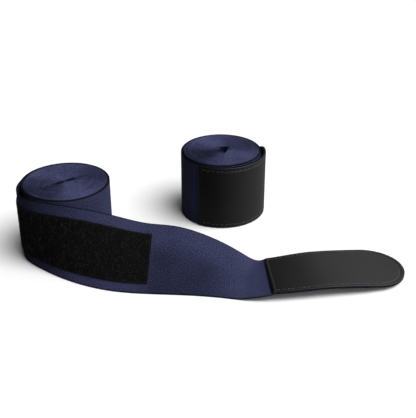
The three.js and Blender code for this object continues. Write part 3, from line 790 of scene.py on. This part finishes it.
def slab_profile(half, bottom, top, corner, shape=lambda inset: 0):
    """(inset, h) from the middle of the underside, round the edge, to the middle of the face."""
    rows = np.append(INSET_ROWS[INSET_ROWS < half * 0.95], half)
    arc = np.linspace(0, math.pi / 2, 4)
    under = [(inset, bottom) for inset in rows[::-1] if inset > corner]
    under += [(corner * (1 - math.sin(a)), bottom + corner * (1 - math.cos(a))) for a in arc]
    over = [(corner * (1 - math.cos(a)), top - corner * (1 - math.sin(a))) for a in arc]
    over += [(inset, top + shape(inset)) for inset in rows if inset > corner]
    return np.array(under + over)


def tab_slab(name, start, inset, profile, step, bend, material):
    """A layer with the tab's outline, drawn in by inset."""
    half = TAB_WIDTH / 2 - inset
    edge, spine = tab_columns(start, half, step)
    flat = []
    for outline, inner in zip(edge, spine):
        inward = (inner - outline) / half
        along = outline + inward * profile[:, :1]
        flat.append(np.column_stack([along[:, 0], BAND_WIDTH / 2 + along[:, 1], profile[:, 1]]))
    flat = np.concatenate(flat)
    count = len(profile)
    faces = [(i * count + j, (i + 1) * count + j, (i + 1) * count + j + 1, i * count + j + 1)
             for i in range(len(edge) - 1) for j in range(count - 1)]
    return make_piece(name, bend(flat), faces, flat[:, :2], material)


def synthetic_leather(name):
    """Polyurethane leather: black, embossed with a fine pebble grain, nearly matt. It is greyer where
    it is rubbed. Near the hem it is duller, and painted blacker as shade and dark reflection where the tab
    rises."""
    material, tree = new_material(name)
    lay = add_node(tree, "ShaderNodeUVMap", uv_map="lay").outputs["UV"]
    grain = add_node(tree, "ShaderNodeTexVoronoi", {
        "Vector": lay, "Scale": 1 / GRAIN_SIZE, "Randomness": 1}, feature="DISTANCE_TO_EDGE")
    pores = add_node(tree, "ShaderNodeTexNoise", {"Vector": lay, "Scale": 1 / PORE_SIZE, "Detail": 4})
    patchy = add_node(tree, "ShaderNodeTexNoise", {"Vector": lay, "Scale": 1 / RUBBED_SIZE, "Detail": 3})
    along = add_node(tree, "ShaderNodeSeparateXYZ", {0: lay})
    from_hem = add_node(tree, "ShaderNodeMapRange", {
        "Value": along.outputs[0], "From Min": 0.003, "From Max": 0.042}, interpolation_type="SMOOTHSTEP")
    pebble = add_node(tree, "ShaderNodeMath", {0: grain.outputs["Distance"], 1: 1.6, 2: pores.outputs["Fac"]},
                      operation="MULTIPLY_ADD")
    worn = add_node(tree, "ShaderNodeMix", {
        0: patchy.outputs["Fac"], 6: linear("#0f0e10"), 7: linear("#181719")}, data_type="RGBA")
    # painted shade: blacker towards the hem
    colour = add_node(tree, "ShaderNodeMix", {
        0: from_hem.outputs[0], 6: linear("#060607"), 7: worn.outputs[2]}, data_type="RGBA")
    roughness = add_node(tree, "ShaderNodeMapRange", {
        "Value": pores.outputs["Fac"], "To Min": 0.4, "To Max": 0.56})
    shine = add_node(tree, "ShaderNodeMapRange", {
        "Value": from_hem.outputs[0], "To Min": 0.24, "To Max": 0.48})
    bump = add_node(tree, "ShaderNodeBump", {
        "Height": pebble.outputs[0], "Strength": 0.3, "Distance": 0.00012})
    shader = add_node(tree, "ShaderNodeBsdfPrincipled", {
        "Base Color": colour.outputs[2], "Roughness": roughness.outputs[0],
        "Normal": bump.outputs[0], "IOR": 1.5, "Specular IOR Level": shine.outputs[0]})
    add_node(tree, "ShaderNodeOutputMaterial", {"Surface": shader.outputs[0]})
    return material


leather = synthetic_leather("synthetic_leather_black")
hook_nylon = nylon_thread("moulded_hook_nylon_grey", "#2c2c30", "#47474c", 0.5, 0.3)
grey_thread = nylon_thread("polyester_thread_grey", "#3c3c3d", "#58585a", 0.62, 0.25)


def tail_half_width(u):
    """The band's tail keeps the band's full width and draws in under the leather's tip."""
    past = max(u - (TAB_LENGTH - TIP_RADIUS), 0)
    inside = TAB_WIDTH / 2 - TIP_RADIUS + math.sqrt(max((TIP_RADIUS - TAIL_INSET) ** 2 - past ** 2, 0))
    tucked = float(smoothstep(u, *TAIL_TUCK))
    return max(BAND_WIDTH / 2 + (inside - BAND_WIDTH / 2) * tucked, TAIL_TIP_HALF)


def tab(prefix, bend, tab_body):
    """The layers of one tab, from the hooks up to the thread."""
    hook_top = -BAND_THICKNESS
    half = TAB_WIDTH / 2

    along = spaced(0, TAIL_END, RUN_STEP)
    tail = band_stretch(f"{prefix}_band_end", along, bend, tail_half_width)
    base, tip = bend([[0, BAND_WIDTH / 2, 0], [HEM_LENGTH, BAND_WIDTH / 2, 0]])
    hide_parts(f"{prefix}_band_tail")
    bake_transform(tail)

    backing = tab_slab(
        f"{prefix}_hook_backing", LEATHER_START, BACKING_INSET, slab_profile(
            half - BACKING_INSET, hook_top - HOOK_BASE, hook_top, BACKING_CORNER),
        RUN_STEP, bend, knit)
    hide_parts(f"{prefix}_tab_hook_strip")
    seats = [
        (u, BAND_WIDTH / 2 + w, -(hook_top - HOOK_BASE))
        for u in spaced(LEATHER_START + HOOK_MARGIN / 2, TAB_LENGTH - HOOK_MARGIN, HOOK_PITCH[0])
        for w in spaced(HOOK_MARGIN - half, half - HOOK_MARGIN, HOOK_PITCH[1])
        if math.hypot(max(u - (TAB_LENGTH - half), 0), w) < half - HOOK_MARGIN]
    hooks = grow(f"{prefix}_hooks", bent_thread, seats, [], {
        "Radius": HOOK_HEIGHT, "Sweep": math.radians(150), "Thread": HOOK_THREAD, "Turn": 0.3,
        "Jitter": 0.0001}, hook_nylon, lambda flat: bend(flat * (1, 1, -1)), HOOK_SEED)

    face = tab_slab(
        f"{prefix}_leather_face", LEATHER_START - LEATHER_UNDER_HEM, 0, slab_profile(
            half, LAYER_GAP, LEATHER_THICKNESS, LEATHER_CORNER,
            lambda inset: -GROOVE_DEPTH * math.exp(-((inset - TAB_SEAM_INSET) / GROOVE_WIDTH) ** 2)),
        LEATHER_STEP, bend, leather)
    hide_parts(f"{prefix}_tab_leather")

    reach = HEM_LENGTH / 2 + HEM_OVERHANG
    bar = [(HEM_LENGTH / 2 + reach * math.cos(a), LAYER_GAP + HEM_THICKNESS * math.sin(a))
           for a in np.linspace(0, math.pi, 13)]
    stations = []
    for w in half * np.sin(np.linspace(-math.pi / 2, math.pi / 2, 41)):
        into_corner = max(abs(w) - (half - HEM_CORNER), 0)
        cut = HEM_CORNER - math.sqrt(max(HEM_CORNER ** 2 - into_corner ** 2, 0))
        low_end = 1 - 0.7 * (into_corner / HEM_CORNER) ** 2
        stations.append([(max(u, cut), BAND_WIDTH / 2 + w, h * low_end) for u, h in bar])
    flat = np.concatenate(stations)
    hem = make_piece(f"{prefix}_leather_hem", bend(flat), skin(len(stations), len(bar)),
                     flat[:, :2], leather)
    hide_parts(f"{prefix}_tab_hem")

    low = half - TAB_SEAM_INSET
    start, round_start = LEATHER_START + SEAM_TO_HEM, TAB_LENGTH - half
    turn = np.linspace(-math.pi / 2, math.pi / 2, 25)
    corners = [(start, -low)]
    corners += [(round_start + low * math.cos(a), low * math.sin(a)) for a in turn]
    corners += [(start, low)]
    points = [(u, BAND_WIDTH / 2 + w, LEATHER_THICKNESS - GROOVE_DEPTH) for u, w in corners]
    edges = [(k, k + 1) for k in range(len(points) - 1)]
    seam = grow(f"{prefix}_tab_stitches", stitches, points, edges, {
        "Pitch": STITCH_PITCH, "Length": 0.0019, "Height": 0.0007, "Thread": 0.0002,
        "Slant": math.radians(7)}, grey_thread, bend)
    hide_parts(f"{prefix}_tab_stitching")

    for piece, slot in ((backing, "hook"), (hooks, "hook"), (face, "leather"), (hem, "leather"),
                        (seam, "thread")):
        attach(piece, tab_body)


tab("open", bend_open, "open_tab")
tab("closed", bend_closed, "closed_tab")


# ------------------------------------------------------------------------------ the thumb loops
# A loop of the same band, folded to 20 mm, ends the band's inner end. It lies in the roll's middle
# and is closed by a bartack, a block of close stitches.
LOOP_THICKNESS = 0.0008
BARTACK_LENGTH = 0.014


def thumb_loop(prefix, centre, hole, body):
    """The loop along the hole's wall, and its bartack in the middle."""
    angle = np.linspace(0, 2 * math.pi, 61)[:-1]
    wall = hole_radius(angle, hole) - GAP
    low = (BAND_WIDTH - LOOP_WIDTH) / 2
    corners = wall[:, None] * np.stack([np.cos(angle), np.sin(angle)], 1)
    lengths = np.hypot(*(np.roll(corners, -1, 0) - corners).T)
    points, uv, covered = [], [], 0
    for a, reach, step in zip(angle, wall, lengths):
        section = band_section(low, low + LOOP_WIDTH, reach - LOOP_THICKNESS, reach)
        w, r = section.T
        points.append(np.stack([centre[0] + r * math.cos(a), centre[1] + r * math.sin(a), w], 1))
        uv.append(np.stack([np.full(len(w), covered), w], 1))
        covered += step
    loop = make_piece(f"{prefix}_thumb_loop_band", np.concatenate(points),
                      skin(len(points), len(points[0]), joined=True), np.concatenate(uv), navy_elastic)
    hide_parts(f"{prefix}_thumb_loop")

    tack_middle = low_and_high(f"{prefix}_thumb_loop_bartack").mean(0)
    rows = [(-BARTACK_LENGTH / 2, 0, 0), (BARTACK_LENGTH / 2, 0, 0)]
    tack = grow(f"{prefix}_bartack_threads", stitches, rows, [(0, 1)], {
        "Pitch": 0.0004, "Length": 0.0022, "Height": 0.0005, "Thread": 0.0002,
        "Slant": math.radians(84)}, seam_thread,
        lambda flat: tack_middle + np.stack([flat[:, 1], flat[:, 2], flat[:, 0]], 1))
    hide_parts(f"{prefix}_thumb_loop_bartack")
    for piece in (loop, tack):
        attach(piece, body)


thumb_loop("open", open_centre, OPEN_FOLD, "open_roll")
thumb_loop("closed", closed_centre + CLOSED_HOLE_MIDDLE, CLOSED_HOLE, "closed_roll")


# -------------------------------------------------------------------------------- floor and light
# A seamless white table under one very soft light, high up, to the right and a little in front.
# The surround is bright on the right and dark on the left, so the left sides fall off.
FLOOR_SIZE = 6
FLOOR_SEEN = "#fafafa"
FLOOR_BOUNCE = "#8c8c8c"  # what the floor gives back to the wraps
FLOOR_LIFT = 0.02  # added to the floor's own light, so that it reaches white
SUN_FROM = Vector((0.46, -0.24, 1))
SUN_WIDTH = math.radians(44)
SUN_STRENGTH = 2.75
WORLD_LEFT, WORLD_RIGHT = 0.02, 1.45

paper, tree = new_material("seamless_paper_white")
rays = add_node(tree, "ShaderNodeLightPath")
seen = add_node(tree, "ShaderNodeMath", {
    0: rays.outputs["Is Camera Ray"], 1: rays.outputs["Is Glossy Ray"]}, operation="ADD")
clear = add_node(tree, "ShaderNodeMath", {
    0: seen.outputs[0], 1: rays.outputs["Is Transmission Ray"]}, operation="ADD")
lift = add_node(tree, "ShaderNodeMath", {0: clear.outputs[0], 1: FLOOR_LIFT}, operation="MULTIPLY")
glow = add_node(tree, "ShaderNodeEmission", {"Color": (1, 1, 1, 1), "Strength": lift.outputs[0]})
white = add_node(tree, "ShaderNodeMix", {
    0: rays.outputs["Is Camera Ray"], 6: linear(FLOOR_BOUNCE), 7: linear(FLOOR_SEEN)}, data_type="RGBA")
matt = add_node(tree, "ShaderNodeBsdfDiffuse", {"Color": white.outputs[2]})
both = add_node(tree, "ShaderNodeAddShader", {0: matt.outputs[0], 1: glow.outputs[0]})
add_node(tree, "ShaderNodeOutputMaterial", {"Surface": both.outputs[0]})

sheet = bpy.data.meshes.new("floor")
side = FLOOR_SIZE / 2
corners = [(-side, -side, 0), (side, -side, 0), (side, side, 0), (-side, side, 0)]
sheet.from_pydata(corners, [], [(0, 1, 2, 3)])
sheet.materials.append(paper)
floor = bpy.data.objects.new("floor", sheet)
bpy.context.scene.collection.objects.link(floor)

world = bpy.data.worlds.new("studio")
bpy.context.scene.world = world
world.use_nodes = True
tree = world.node_tree
tree.nodes.clear()
rays = add_node(tree, "ShaderNodeLightPath")
seen = add_node(tree, "ShaderNodeMath", {
    0: rays.outputs["Is Camera Ray"], 1: rays.outputs["Is Transmission Ray"]}, operation="MAXIMUM")
direction = add_node(tree, "ShaderNodeTexCoord").outputs["Generated"]
sideways = add_node(tree, "ShaderNodeSeparateXYZ", {0: direction})
surround = add_node(tree, "ShaderNodeMapRange", {
    "Value": sideways.outputs[0], "From Min": -0.1, "From Max": 1.0,
    "To Min": WORLD_LEFT, "To Max": WORLD_RIGHT})
strength = add_node(tree, "ShaderNodeMix", {0: seen.outputs[0], 2: surround.outputs[0], 3: 1.0})
backdrop = add_node(tree, "ShaderNodeBackground", {"Color": (1, 1, 1, 1), "Strength": strength.outputs[0]})
add_node(tree, "ShaderNodeOutputWorld", {"Surface": backdrop.outputs[0]})

sun = bpy.data.objects.new("soft_sun", bpy.data.lights.new("soft_sun", "SUN"))
sun.data.energy = SUN_STRENGTH
sun.data.angle = SUN_WIDTH
sun.rotation_euler = (-SUN_FROM).to_track_quat("-Z", "Y").to_euler()
bpy.context.scene.collection.objects.link(sun)
bpy.context.scene.view_settings.view_transform = "Standard"
